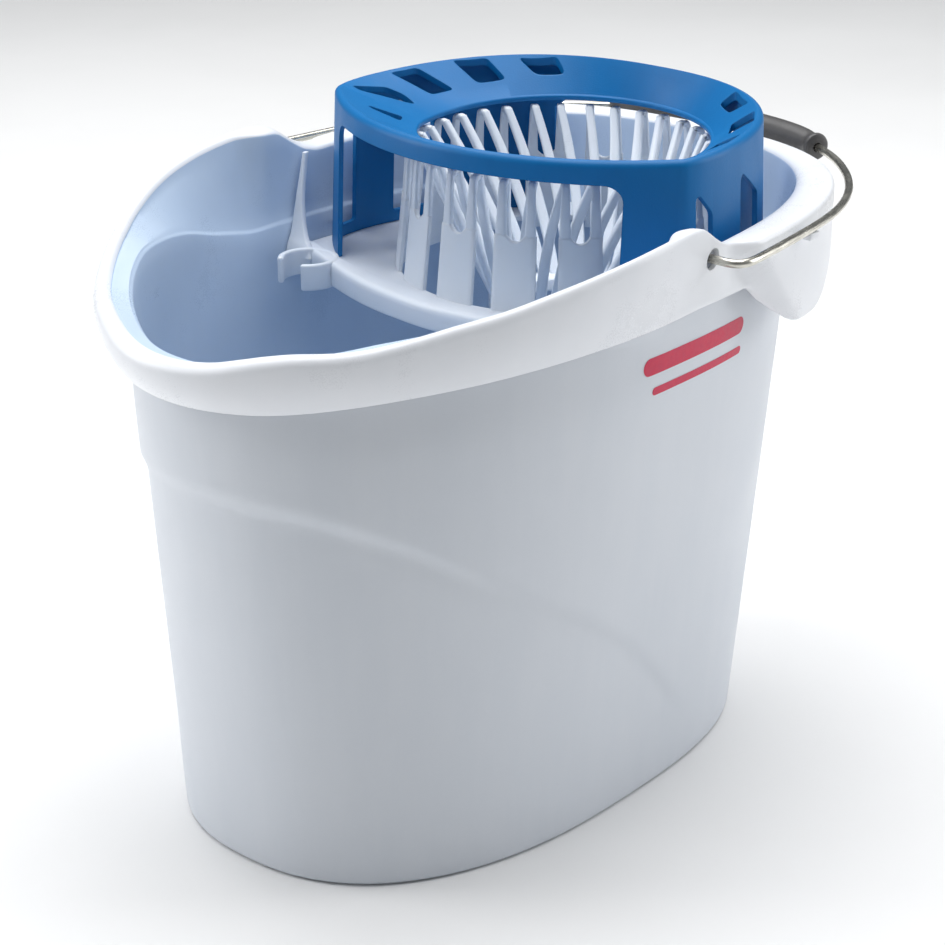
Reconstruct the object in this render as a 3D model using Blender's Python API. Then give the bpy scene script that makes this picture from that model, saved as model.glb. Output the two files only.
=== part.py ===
"""Oval mop bucket with a bail handle and a lift-out wringer, as separate solids.

Run with: blender --background --python part.py
World frame: metres, +Z up. X runs along the bucket, with the pouring lip at -X and the
wringer at +X. Y runs across it. The origin is in the middle of the flat underside.
The constants are in millimetres and are turned into metres as the meshes are made.
"""
import math

import bmesh
import bpy

MM = 0.001

# Plan shapes: centre x, reach to the front, reach to the rear, half width, and the
# exponents of the front and rear halves (2 is an ellipse, more is squarer).
BASE_PLAN = (-1.4, 152.7, 156.6, 101.9, 2.36, 2.84)
WALL_PLAN = (0.0, 177.7, 178.0, 122.3, 1.94, 2.62)
WALL_PLAN_Z = 252.0
REAR_SKIRT_PLAN = (0.0, 189.0, 189.0, 139.0, 2.9, 2.9)

WALL = 2.8                 # bucket wall thickness
SKIRT = 2.6                # thickness of the rim's hanging skirt
SKIRT_OUT = 9.0            # how far the skirt's lower edge stands off the wall
FOOT_R = 3.0               # radius round the underside
FLOOR_Z = 3.2
THIN = 1.2                 # inset of the inner face just above the ledge
BUCKET_STEPS = 96          # points round the bucket

# Against x at the rim: the crown's height and how far it stands off the wall, how far the
# outer face is beyond the crown, and the height of the skirt's lower edge.
RIM_TOP = ((-190, 258.5), (-186, 260.0), (-180, 263.5), (-175, 265.7), (-168, 267.3), (-158, 267.8),
           (-150, 268.8), (-140, 271.2), (-120, 276.5), (-100, 281.0), (-80, 286.0), (-60, 290.0),
           (-40, 293.0), (-20, 295.0), (-4, 295.8), (5, 295.0), (11, 292.0), (18, 287.6),
           (26, 283.6), (36, 281.6), (48, 282.0), (195, 284.0))
CROWN_OUT = ((-195, 10.0), (-120, 11.3), (-100, 13.0), (-70, 14.0), (-45, 12.8), (-20, 10.3),
             (5, 8.0), (22, 6.8), (40, 4.5), (195, 4.5))
FACE_OUT = ((-195, 6.5), (-172, 5.5), (-140, 4.0), (-100, 3.6), (-40, 2.4), (-5, 1.8), (195, 2.2))
SKIRT_LOW = ((-195, 236.5), (-184, 237.5), (-155, 242.5), (-131, 246.0), (-102, 249.0), (-68, 252.0),
             (-31, 254.5), (17, 257.0), (46, 257.0), (58, 248.0), (68, 239.5), (78, 232.5),
             (98, 231.5), (112, 235.0), (128, 244.0), (143, 252.0), (156, 257.0), (195, 258.0))
# Height of the inner ledge, where the wall starts to lean out to the rim.
LEDGE_Z = ((-195, 253.0), (-179, 253.0), (-163, 259.5), (-150, 263.0), (-135, 266.5), (-118, 268.5),
           (-98, 267.0), (-77, 263.5), (-43, 254.0), (-12, 248.5), (195, 248.5))
STEP_TOP = (24.0, 284.0)   # the rear skirt starts on a slanted line from here
STEP_SLOPE = 0.88          # x gained for each millimetre down that line

HINGE = (15.0, 279.0)      # x and z of the bail's axis
EAR_HOLE_R = 5.0
WIRE_R = 2.0
REST_X = (80.0, 88.0)      # small ledge on the rear skirt that the bail lies on
REST_OUT = 141.5
REST_H = 3.5
FIT = 0.35                 # clearance between pieces that touch

# Half of the bail's path, from its sprung-in end in the ear to the middle of the grip.
BAIL_PATH = ((15.0, 127.4, 279.0), (15.0, 131.6, 279.0),
             (15.0, 136.5, 279.0), (15.0, 141.0, 279.0), (16.0, 144.9, 279.0), (19.2, 147.3, 279.0),
             (25.0, 147.9, 279.0), (41.0, 146.3, 279.0), (65.0, 143.2, 279.0), (89.0, 139.5, 279.0),
             (107.0, 135.6, 279.0), (120.0, 131.6, 279.0), (132.0, 126.7, 279.0),
             (143.0, 121.2, 279.0), (153.0, 115.2, 279.0), (164.5, 107.0, 279.0),
             (175.0, 98.0, 279.0), (184.5, 88.6, 279.0), (192.5, 79.0, 279.0), (198.6, 70.0, 279.0),
             (201.2, 65.2, 279.05), (204.2, 57.0, 279.3), (206.6, 47.0, 279.8), (208.6, 33.0, 280.4), (209.7, 17.0, 280.8),
             (210.0, 0.0, 281.0))
GRIP_HALF = 66.0           # the grip covers the path within this distance of its middle
GRIP_R = 7.4
GRIP_BORE = 2.35
TUBE_SIDES = 14
WIRE_SIDES = 10

# Wringer collar: D-shaped ring whose top falls like a funnel to a round hole.
HOLE_X = 76.4
HOLE_R = (68.5, 72.5)      # half size of the hole along x and y
COLLAR_TOP = 316.0         # height of the outer edge at x = 50
COLLAR_TILT = 0.03
HOLE_TOP = 300.0
HOLE_LIFT = 0.06           # the hole's edge climbs towards the front by this
COLLAR_LOW = 235.6
COLLAR_DRAFT = 3.0
COLLAR_WALL = 2.6
FUNNEL_T = 2.8             # thickness of the sloping top
FRONT_X = -17.5
FRONT_R = 146.7
CORNER = (31.0, 109.0)
REAR_REACH = 125.5
COLLAR_HALF = 111.0
COLLAR_POWER = 2.35
BAND_LOW = 303.8           # underside of the band over the front opening
OPEN_HALF = 87.0
REAR_OPEN_HALF = 58.0
REAR_OPEN_TOP = 297.0
SILL = 6.0
# Cut-outs in the funnel: corners as (angle, share of the way from the hole to the edge).
CUTOUTS = (
    ((38, 0.47), (49, 0.45), (54, 0.79), (41, 0.79)),
    ((60, 0.40), (71, 0.38), (75, 0.86), (64, 0.83)),
    ((81, 0.34), (91, 0.34), (96, 0.87), (87, 0.85)),
    ((101.5, 0.26), (100.5, 0.46), (102.5, 0.66), (111, 0.86), (111.5, 0.76), (104.5, 0.36)),
    ((118, 0.20), (122.5, 0.62), (124.5, 0.60), (125.5, 0.22)),
)

# Wringer basket: seat plate with a lip, stick clip, wings, staves, fingers and a cup.
PLATE_Z = (232.0, 235.2)
PLATE_GAP = 0.5            # clearance from the seat plate to the bucket wall
PLATE_HOLE_R = 80.0
LIP_FRONT = ((0, -24.0), (30, -21.0), (45, -18.0), (60, -13.5), (77, -7.0), (95, 0.5), (112, 6.0))
LIP_HALF = 112.0
LIP_WIDTH = ((0, 13.5), (52, 12.5), (77, 9.4), (112, 8.6))
# Section of the lip: share of its width, and height.
LIP_SECTION = ((0.0, 226.0), (0.25, 226.0), (0.3, 231.0), (1.0, 231.0), (1.0, 236.6),
               (0.9, 238.0), (0.24, 238.0), (0.07, 237.1), (0.01, 235.0))
CLIP_CENTRE = (-6.6, 93.6)
CLIP_R = (12.2, 15.2)
CLIP_Z = (225.0, 238.4)
CLIP_ARC = (-146.0, 136.0)
# Rib up the bucket's wall at each end of the lip: height, front face x and width in y.
RIB = ((233.0, 1.0, 17.0), (238.0, 3.0, 15.0), (241.5, 5.0, 11.2), (246.0, 7.0, 8.4), (252.0, 9.0, 6.2),
       (260.0, 11.5, 4.3), (270.0, 15.0, 3.0), (281.0, 18.5, 2.2))
RIB_T = 3.0
STAVES = 16
STAVE_FIRST = 202.5
STAVE_HALF = 7.5
STAVE_T = 2.6
STAVE_Z = (228.5, 268.0)
STAVE_R = 82.2             # outer radius at the seat plate
STAVE_LEAN = 0.105
PRONG_OFF = 5.3            # half the angle between the two prongs of a stave
FINGER_TURN = -20.0        # the fingers wind this far on their way down
CUP_R = (24.0, 36.0)
CUP_Z = (211.5, 218.5)
# Each prong and finger: radius, height, share of the turn, half width, half thickness.
FINGER = ((77.5, 263.0, 0.0, 3.0, 1.3), (75.3, 291.5, 0.0, 1.9, 1.35), (73.4, 294.6, 0.0, 1.9, 1.5),
          (70.6, 294.6, 0.01, 1.9, 1.5), (68.2, 290.5, 0.05, 2.1, 1.7), (48.0, 249.0, 0.52, 2.7, 2.0),
          (32.5, 217.0, 0.92, 2.3, 2.0))

WHITE = (0.80, 0.83, 0.90)
BLUE = (0.0, 0.13, 0.42)


def clear_scene():
    for obj in list(bpy.data.objects):
        bpy.data.objects.remove(obj, do_unlink=True)


def material(name, colour, roughness, metallic=0.0):
    mat = bpy.data.materials.new(name)
    mat.use_nodes = True
    bsdf = mat.node_tree.nodes["Principled BSDF"]
    bsdf.inputs["Base Color"].default_value = (*colour, 1.0)
    bsdf.inputs["Roughness"].default_value = roughness
    bsdf.inputs["Metallic"].default_value = metallic
    return mat


def table(rows, x):
    """Value at x on straight lines between the rows."""
    if x <= rows[0][0]:
        return rows[0][1]
    for (x0, v0), (x1, v1) in zip(rows, rows[1:]):
        if x <= x1:
            return v0 + (v1 - v0) * (x - x0) / (x1 - x0)
    return rows[-1][1]


def smooth(x):
    x = min(1.0, max(0.0, x))
    return x * x * (3.0 - 2.0 * x)


def plan_point(plan, t, grow=0.0):
    """Point at angle t of a plan shape, whose reach is enlarged by grow."""
    cx, front, rear, half, n_front, n_rear = plan
    c, s = math.cos(t), math.sin(t)
    reach, power = (rear, n_rear) if c > 0 else (front, n_front)
    x = cx + math.copysign((reach + grow) * abs(c) ** (2.0 / power), c)
    y = math.copysign((half + grow) * abs(s) ** (2.0 / power), s)
    return x, y


def wall_plan(z):
    share = z / WALL_PLAN_Z
    return tuple(a + (b - a) * share for a, b in zip(BASE_PLAN, WALL_PLAN))


def wall_point(t, z, grow=0.0):
    x, y = plan_point(wall_plan(z), t, grow)
    return x, y, z


def even_angles(count):
    """Angles that space the points of the wall's plan evenly."""
    fine = 4000
    pts = [plan_point(WALL_PLAN, 2 * math.pi * i / fine) for i in range(fine + 1)]
    run = [0.0]
    for p, q in zip(pts, pts[1:]):
        run.append(run[-1] + math.dist(p, q))
    angles, j = [], 0
    for k in range(count):
        goal = run[-1] * k / count
        while run[j + 1] < goal:
            j += 1
        part = (goal - run[j]) / (run[j + 1] - run[j])
        angles.append(2 * math.pi * (j + part) / fine)
    return angles


def loft(name, rings, closed=False, mat=None):
    """Closed solid through rings of points; the last ring meets the first if closed."""
    mesh = bpy.data.meshes.new(name)
    bm = bmesh.new()
    loops = [[bm.verts.new([c * MM for c in p]) for p in ring] for ring in rings]
    pairs = list(zip(loops, loops[1:] + loops[:1])) if closed else list(zip(loops, loops[1:]))
    for a, b in pairs:
        for i in range(len(a)):
            k = (i + 1) % len(a)
            bm.faces.new((a[i], a[k], b[k], b[i]))
    if not closed:
        bm.faces.new(loops[0][::-1])
        bm.faces.new(loops[-1])
    return finish_mesh(name, mesh, bm, mat)


def finish_mesh(name, mesh, bm, mat):
    bmesh.ops.recalc_face_normals(bm, faces=bm.faces)
    bm.to_mesh(mesh)
    bm.free()
    mesh.shade_smooth()
    mesh.set_sharp_from_angle(angle=math.radians(35))
    obj = bpy.data.objects.new(name, mesh)
    bpy.context.collection.objects.link(obj)
    if mat:
        mesh.materials.append(mat)
    return obj


def solids(name, parts, mat=None):
    """One object out of several closed bodies, each a list of rings."""
    mesh = bpy.data.meshes.new(name)
    bm = bmesh.new()
    for rings in parts:
        loops = [[bm.verts.new([c * MM for c in p]) for p in ring] for ring in rings]
        for a, b in zip(loops, loops[1:]):
            for i in range(len(a)):
                k = (i + 1) % len(a)
                bm.faces.new((a[i], a[k], b[k], b[i]))
        bm.faces.new(loops[0][::-1])
        bm.faces.new(loops[-1])
    return finish_mesh(name, mesh, bm, mat)


def boolean(obj, other, operation, own_overlaps=False):
    other.hide_render = True
    other.display_type = "WIRE"
    mod = obj.modifiers.new(other.name, "BOOLEAN")
    mod.operation = operation
    mod.solver = "EXACT"
    mod.use_self = own_overlaps
    mod.object = other


def prism(outline, z0, z1):
    return [[(x, y, z0) for x, y in outline], [(x, y, z1) for x, y in outline]]


def side_prism(profile, y0, y1):
    """Prism along y from an outline of (x, z) points."""
    return [[(x, y0, z) for x, z in profile], [(x, y1, z) for x, z in profile]]


# ---------------------------------------------------------------- bucket

def skirt_point(t, x_ref, z, low, top, inset):
    """Point of the rim's skirt: flared at the front, upright behind the slanted step."""
    reach = table(CROWN_OUT, x_ref) + table(FACE_OUT, x_ref)
    rise = min(1.0, (z - low) / (top - 5.0 - low))
    lean = SKIRT_OUT + (reach - SKIRT_OUT) * rise * (2.0 - rise)
    fx, fy, _ = wall_point(t, z, lean - inset)
    rx, ry = plan_point(REAR_SKIRT_PLAN, t, -inset)
    share = smooth((x_ref - STEP_TOP[0] - (STEP_TOP[1] - z) * STEP_SLOPE) / 9.0)
    return fx + (rx - fx) * share, fy + (ry - fy) * share, z


def bucket_rings():
    columns = [bucket_column(t) for t in even_angles(BUCKET_STEPS)]
    return [[column[k] for column in columns] for k in range(len(columns[0]))]


def bucket_column(t):
    """Points of the bucket's section at angle t, from the underside round to the floor."""
    x = wall_point(t, 268.0, 10.0)[0]
    top, low, crown, roll = (table(rows, x) for rows in (RIM_TOP, SKIRT_LOW, CROWN_OUT, FACE_OUT))
    ledge = table(LEDGE_Z, wall_point(t, 268.0)[0])
    rear = smooth((x + 20.0) / 18.0)
    under = ledge - 2.0 + (top - 7.0 - ledge) * smooth((x + 5.0) / 12.0)
    steps = (0.0, 0.25, 0.5, 0.75, 1.0)

    def face(inset, high):
        return [skirt_point(t, x, low + (high - low) * f, low, top, inset) for f in steps]

    foot = [(-FOOT_R * (1 - math.sin(a)), FOOT_R * (1 - math.cos(a))) for a in (0.0, 0.5, 1.05, math.pi / 2)]
    col = [wall_point(t, z, grow) for grow, z in foot]
    col += [wall_point(t, z) for z in (130.0, under)]
    col += face(SKIRT, top - 5.0)[::-1]
    col += face(0.0, top - 5.0)
    col += [skirt_point(t, x, top - 1.6, low, top, 0.35 * roll)]
    col += [wall_point(t, top, crown), wall_point(t, top - 0.9, crown - 2.4)]
    col += [wall_point(t, top - 3.4, (crown - 3.6) * (1 - rear) + rear * (0.4 - THIN))]
    col += [wall_point(t, ledge + 1.2, -THIN), wall_point(t, ledge - 1.2, -WALL)]
    col += [wall_point(t, 130.0, -WALL), wall_point(t, 13.0, -WALL)]
    col += [wall_point(t, 6.0, -WALL - 2.0), wall_point(t, FLOOR_Z, -WALL - 8.0)]
    return col


def make_bucket(mat):
    bucket = loft("bucket", bucket_rings(), mat=mat)
    rests, holes = [], []
    for side in (-1, 1):
        y0, y1 = sorted((side * 134.0, side * REST_OUT))
        z1 = HINGE[1] - WIRE_R - FIT
        profile = ((REST_X[0], z1 - REST_H), (REST_X[1], z1 - REST_H), (REST_X[1], z1), (REST_X[0], z1))
        rests.append(side_prism(profile, y0, y1))
        circle = [(HINGE[0] + EAR_HOLE_R * math.cos(a), HINGE[1] + EAR_HOLE_R * math.sin(a))
                  for a in (2 * math.pi * i / 24 for i in range(24))]
        y0, y1 = sorted((side * 129.0, side * 150.0))
        holes.append(side_prism(circle, y0, y1))
    boolean(bucket, solids("bail_rests", rests), "UNION")
    boolean(bucket, solids("ear_holes", holes), "DIFFERENCE")
    return bucket


# ---------------------------------------------------------------- bail and grip

def bail_path():
    left = [(x, -y, z) for x, y, z in BAIL_PATH]
    return left + [(x, y, z) for x, y, z in reversed(BAIL_PATH[:-1])]


def tube_ring(path, i, radius, sides=TUBE_SIDES):
    """Ring of points square to the path at point i, with no twist along a flat path."""
    a, b = path[max(i - 1, 0)], path[min(i + 1, len(path) - 1)]
    d = [q - p for p, q in zip(a, b)]
    size = math.hypot(*d)
    d = [c / size for c in d]
    ref = (0.0, 0.0, 1.0) if abs(d[2]) < 0.7 else (1.0, 0.0, 0.0)
    u = (d[1] * ref[2] - d[2] * ref[1], d[2] * ref[0] - d[0] * ref[2], d[0] * ref[1] - d[1] * ref[0])
    size = math.hypot(*u)
    u = [c / size for c in u]
    v = (u[1] * d[2] - u[2] * d[1], u[2] * d[0] - u[0] * d[2], u[0] * d[1] - u[1] * d[0])
    p = path[i]
    turn = [2 * math.pi * k / sides for k in range(sides)]
    return [tuple(p[c] + radius * (math.cos(w) * u[c] + math.sin(w) * v[c]) for c in range(3)) for w in turn]


def wire_rings(path):
    """Rings of the wire, carried along so that they never twist at the hooks."""
    rings = [tube_ring(path, i, WIRE_R, WIRE_SIDES) for i in range(len(path))]
    for a, k in zip(rings, range(1, len(rings))):
        b = rings[k]
        best = min(range(len(b)), key=lambda s: math.dist(a[0], b[s]))
        b = b[best:] + b[:best]
        if math.dist(a[1], b[1]) > math.dist(a[1], b[-1]):
            b = [b[0]] + b[:0:-1]
        rings[k] = b
    return rings


def make_wire(mat):
    path = bail_path()
    return loft("bail_wire", wire_rings(path), mat=mat)


def make_grip(mat):
    path = [p for p in bail_path() if abs(p[1]) <= GRIP_HALF and p[0] > 150]
    last = len(path) - 1
    ends = (0, last)
    outer = []
    for i in range(len(path)):
        outer.append(tube_ring(path, i, GRIP_R - (2.2 if i in ends else 0.0)))
    bore = [tube_ring(path, i, GRIP_BORE) for i in range(last, -1, -1)]
    return loft("handle_grip", outer + bore, closed=True, mat=mat)


# ---------------------------------------------------------------- wringer collar

def front_arc(y):
    return FRONT_X + FRONT_R - math.sqrt(FRONT_R ** 2 - y * y)


def collar_plan():
    """The collar's outline, anticlockwise, as points with the direction to push them out."""
    pts = []
    for i in range(38):
        t = -math.pi / 2 + math.pi * (i + 0.5) / 38
        pts.append((CORNER[0] + REAR_REACH * math.cos(t) ** (2 / COLLAR_POWER),
                    math.copysign(COLLAR_HALF * abs(math.sin(t)) ** (2 / COLLAR_POWER), t)))
    for i in range(27):
        y = 107.5 * math.cos(math.pi * i / 26)
        pts.append((front_arc(y), y))
    return round_off(pts, 1)


def round_off(pts, times):
    """Soften the outline's corners, keeping the number of points."""
    for _ in range(times):
        pts = [((a[0] + 2 * b[0] + c[0]) / 4, (a[1] + 2 * b[1] + c[1]) / 4)
               for a, b, c in zip(pts[-1:] + pts[:-1], pts, pts[1:] + pts[:1])]
    return pts


def push_out(pts, distance):
    out = []
    for a, b, c in zip(pts[-1:] + pts[:-1], pts, pts[1:] + pts[:1]):
        dx, dy = c[0] - a[0], c[1] - a[1]
        size = math.hypot(dx, dy)
        out.append((b[0] + dy / size * distance, b[1] - dx / size * distance))
    return out


def hole_point(px, py, grow=0.0):
    """Point of the hole's edge in the direction of (px, py) from its centre."""
    a = math.atan2(py, px - HOLE_X)
    r = 1.0 / math.hypot(math.cos(a) / HOLE_R[0], math.sin(a) / HOLE_R[1]) + grow
    return HOLE_X + r * math.cos(a), r * math.sin(a)


def collar_top_z(x):
    return COLLAR_TOP + COLLAR_TILT * (x - 50.0)


def hole_z(x):
    return HOLE_TOP + HOLE_LIFT * max(0.0, 60.0 - x) + COLLAR_TILT * max(0.0, x - HOLE_X)


def collar_rings():
    plan = collar_plan()
    hole = [hole_point(x, y) for x, y in plan]

    def outer(distance, drop):
        return [(x, y, collar_top_z(x) - drop) for x, y in push_out(plan, distance)]

    def inner(grow, drop):
        return [(*hole_point(x, y, grow), hole_z(hx) - drop) for (x, y), (hx, _) in zip(plan, hole)]

    under_hole, under_edge = [], []
    for (x, y), (hx, hy), (ex, ey) in zip(plan, hole, push_out(plan, -COLLAR_WALL)):
        width = math.hypot(x - hx, y - hy)
        slope = (collar_top_z(x) - hole_z(hx)) / (width - 4.2)
        drop = FUNNEL_T * math.hypot(1.0, slope)
        reach = max(2.2, 1.2 + (drop - 3.0) / slope)
        under_hole.append((*hole_point(x, y, reach), hole_z(hx) + slope * (reach - 1.2) - drop))
        under_edge.append((ex, ey, hole_z(hx) + slope * (width - COLLAR_WALL - 1.2) - drop))
    foot_out = [(x, y, COLLAR_LOW) for x, y in push_out(plan, COLLAR_DRAFT)]
    foot_in = [(x, y, COLLAR_LOW) for x, y in push_out(plan, COLLAR_DRAFT - COLLAR_WALL)]
    return [foot_out, outer(0.0, 3.4), outer(-0.9, 1.0), outer(-3.0, 0.0), inner(1.2, 0.0),
            inner(0.0, 1.1), inner(0.4, 2.8), under_hole, under_edge, foot_in]


def collar_cutters():
    cutters = []
    arc = [(front_arc(y) - 8.0, y) for y in (OPEN_HALF * (1 - i / 12) for i in range(25))]
    arc += [(front_arc(y) + 5.0, y) for y in (OPEN_HALF * (i / 12 - 1) for i in range(25))]
    # the opening's top corners are rounded by stacking narrower layers
    radius = 8.0
    cuts = [(0.0, COLLAR_LOW - 6.0), (0.0, BAND_LOW - radius)]
    cuts += [(radius * (1 - math.cos(a)), BAND_LOW - radius * (1 - math.sin(a)))
             for a in (math.radians(d) for d in (30, 55, 75, 90))]
    rings = []
    for inset, z in cuts:
        share = (OPEN_HALF - inset) / OPEN_HALF
        rings.append([(front_arc(y * share) + (-8.0 if k < 25 else 5.0), y * share, z)
                      for k, (_, y) in enumerate(arc)])
    cutters.append(rings)
    sill = COLLAR_LOW + SILL
    windows = (((34.5, sill), (45.5, sill), (45.5, 288.5), (36.5, 298.5), (34.5, 297.0)),
               ((71.0, sill), (94.0, sill), (94.0, 286.5), (73.5, 300.5), (71.0, 298.0)))
    for profile, reach in zip(windows, (100.0, 90.0)):
        for side in (-1, 1):
            cutters.append(side_prism(profile, *sorted((side * reach, side * 125.0))))
    half = REAR_OPEN_HALF
    box = ((128.0, -half), (175.0, -half), (175.0, half), (128.0, half))
    cutters.append(prism(box, COLLAR_LOW - 6.0, REAR_OPEN_TOP))
    return cutters


def funnel_cutters():
    plan = collar_plan()
    cutters = []
    for corners in CUTOUTS:
        for side in (-1, 1):
            outline = [funnel_point(plan, math.radians(side * a), share) for a, share in corners]
            cutters.append(prism(outline, 285.0, 330.0))
    return cutters


def funnel_point(plan, angle, share):
    """Point of the funnel at an angle, a share of the way from the hole to the edge."""
    ux, uy = math.cos(angle), math.sin(angle)
    edge = max((p for p in plan), key=lambda p: ((p[0] - HOLE_X) * ux + p[1] * uy) / math.hypot(p[0] - HOLE_X, p[1]))
    far = math.hypot(edge[0] - HOLE_X, edge[1])
    hx, hy = hole_point(HOLE_X + ux, uy)
    near = math.hypot(hx - HOLE_X, hy)
    r = near + (far - near) * share
    return HOLE_X + r * ux, r * uy


def make_collar(mat):
    collar = loft("wringer_collar", collar_rings(), closed=True, mat=mat)
    boolean(collar, solids("collar_openings", collar_cutters()), "DIFFERENCE")
    boolean(collar, solids("funnel_cutouts", funnel_cutters()), "DIFFERENCE")
    return collar


# ---------------------------------------------------------------- wringer basket

def lip_front(y):
    return table(LIP_FRONT, abs(y))


def plate_outline():
    """The seat plate: the lip's curve in front, the bucket's wall at the sides and rear."""
    z = PLATE_Z[0]
    edge = [wall_point(t, z, -WALL - PLATE_GAP)[:2] for t in even_angles(64)]
    pts = [(max(x, lip_front(y) + 1.0), y) for x, y in edge]
    rear = [p for p in pts if p[0] > lip_front(p[1]) + 1.01]
    rear.sort(key=lambda p: math.atan2(p[1], p[0] - 60.0))
    front = [(lip_front(y) + 1.0, y) for y in (108.0 - 12.0 * i for i in range(19))]
    return rear + front


def ring_solid(outline, z0, z1, radius):
    """Plate with a round hole: rings of the outline and of the hole, point for point."""
    def hole(z):
        out = []
        for x, y in outline:
            a = math.atan2(y, x - HOLE_X)
            out.append((HOLE_X + radius * math.cos(a), radius * math.sin(a), z))
        return out

    return [[(x, y, z0) for x, y in outline], [(x, y, z1) for x, y in outline], hole(z1), hole(z0)]


def lip_body():
    rings = []
    for i in range(25):
        y = LIP_HALF * (i / 12 - 1)
        width = table(LIP_WIDTH, abs(y))
        rings.append([(lip_front(y) + dx * width, y, z) for dx, z in LIP_SECTION])
    return rings


def clip_body():
    rings = []
    for i in range(21):
        a = math.radians(CLIP_ARC[0] + (CLIP_ARC[1] - CLIP_ARC[0]) * i / 20)
        c, s = math.cos(a), math.sin(a)
        section = ((CLIP_R[0], CLIP_Z[0]), (CLIP_R[1], CLIP_Z[0]), (CLIP_R[1], CLIP_Z[1]), (CLIP_R[0], CLIP_Z[1]))
        rings.append([(CLIP_CENTRE[0] + r * c, CLIP_CENTRE[1] + r * s, z) for r, z in section])
    return rings


def wall_y(x, z, grow):
    """Half width of the bucket's wall at x and z."""
    cx, front, rear, half, n_front, n_rear = wall_plan(z)
    reach, power = (rear, n_rear) if x > cx else (front, n_front)
    return (half + grow) * (1 - (abs(x - cx) / (reach + grow)) ** power) ** (1 / power)


def rib_body(side):
    """Rib that sweeps up from the end of the lip and thins along the bucket's wall."""
    rings = []
    for z, x, width in RIB:
        edge = wall_y(x + RIB_T, z, -WALL - PLATE_GAP - 0.1)
        y0, y1 = side * edge, side * (edge - width)
        rings.append([(x, y0, z), (x + RIB_T, y0, z), (x + RIB_T, y1, z), (x, y1, z)])
    return rings


def stave_body(centre):
    rings = []
    for k in range(3):
        a = math.radians(centre + STAVE_HALF * (k - 1))
        ring = []
        for z, inset in ((STAVE_Z[0], 0.0), (STAVE_Z[1], 0.0), (STAVE_Z[1], STAVE_T), (STAVE_Z[0], STAVE_T)):
            r = STAVE_R - STAVE_LEAN * (z - PLATE_Z[1]) - inset
            ring.append((HOLE_X + r * math.cos(a), r * math.sin(a), z))
        rings.append(ring)
    return rings


def finger_body(angle):
    """A prong of a stave that bends over and runs down inwards as a finger."""
    rings = []
    for k, (r, z, turn, half, thick) in enumerate(FINGER):
        a = math.radians(angle + FINGER_TURN * turn)
        radial, across = (math.cos(a), math.sin(a)), (-math.sin(a), math.cos(a))
        lean = finger_lean(k)
        ring = []
        for u, v in ((-half, -thick), (half, -thick), (half, thick), (-half, thick)):
            rr = r + v * lean[0]
            ring.append((HOLE_X + rr * radial[0] + u * across[0], rr * radial[1] + u * across[1], z + v * lean[1]))
        rings.append(ring)
    return rings


def finger_lean(k):
    """Direction across the finger's thickness, in radius and height, at section k."""
    r0, z0 = FINGER[max(k - 1, 0)][:2]
    r1, z1 = FINGER[min(k + 1, len(FINGER) - 1)][:2]
    size = math.hypot(r1 - r0, z1 - z0)
    return (z1 - z0) / size, -(r1 - r0) / size


def make_basket(mat):
    outline = plate_outline()
    basket = loft("wringer_basket", ring_solid(outline, *PLATE_Z, PLATE_HOLE_R), closed=True, mat=mat)
    circle = [(HOLE_X + CUP_R[1] * math.cos(a), CUP_R[1] * math.sin(a))
              for a in (2 * math.pi * i / 36 for i in range(36))]
    boolean(basket, loft("basket_cup", ring_solid(circle, *CUP_Z, CUP_R[0]), closed=True), "UNION")
    frame = [lip_body(), clip_body(), rib_body(-1), rib_body(1)]
    boolean(basket, solids("basket_frame", frame), "UNION", own_overlaps=True)
    bore = [(CLIP_CENTRE[0] + CLIP_R[0] * math.cos(a), CLIP_CENTRE[1] + CLIP_R[0] * math.sin(a))
            for a in (2 * math.pi * i / 40 for i in range(40))]
    boolean(basket, solids("stick_bore", [prism(bore, CLIP_Z[0] - 8.0, CLIP_Z[1] + 8.0)]), "DIFFERENCE")
    centres = [STAVE_FIRST + 360.0 * i / STAVES for i in range(STAVES)]
    boolean(basket, solids("basket_staves", [stave_body(c) for c in centres]), "UNION")
    fingers = [finger_body(c + side * PRONG_OFF) for c in centres for side in (-1, 1)]
    boolean(basket, solids("basket_fingers", fingers), "UNION", own_overlaps=True)
    return basket


def set_origin(obj, point):
    """Move an object's origin to a point, leaving its mesh where it is in the world."""
    shift = [c * MM for c in point]
    for v in obj.data.vertices:
        v.co = [a - b for a, b in zip(v.co, shift)]
    obj.location = shift


def main():
    clear_scene()
    white = material("white_polypropylene", WHITE, 0.38)
    blue = material("blue_polypropylene", BLUE, 0.36)
    steel = material("steel_wire", (0.56, 0.55, 0.52), 0.28, 1.0)
    dark = material("grey_grip", (0.07, 0.07, 0.07), 0.45)
    make_bucket(white)
    make_basket(white)
    make_collar(blue)
    for piece in (make_wire(steel), make_grip(dark)):
        set_origin(piece, (HINGE[0], 0.0, HINGE[1]))


main()
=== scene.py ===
"""Looks for the oval mop bucket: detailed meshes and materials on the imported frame.

Lengths are in millimetres in the frame's own axes and become metres as meshes are made.
"""
import math

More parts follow.
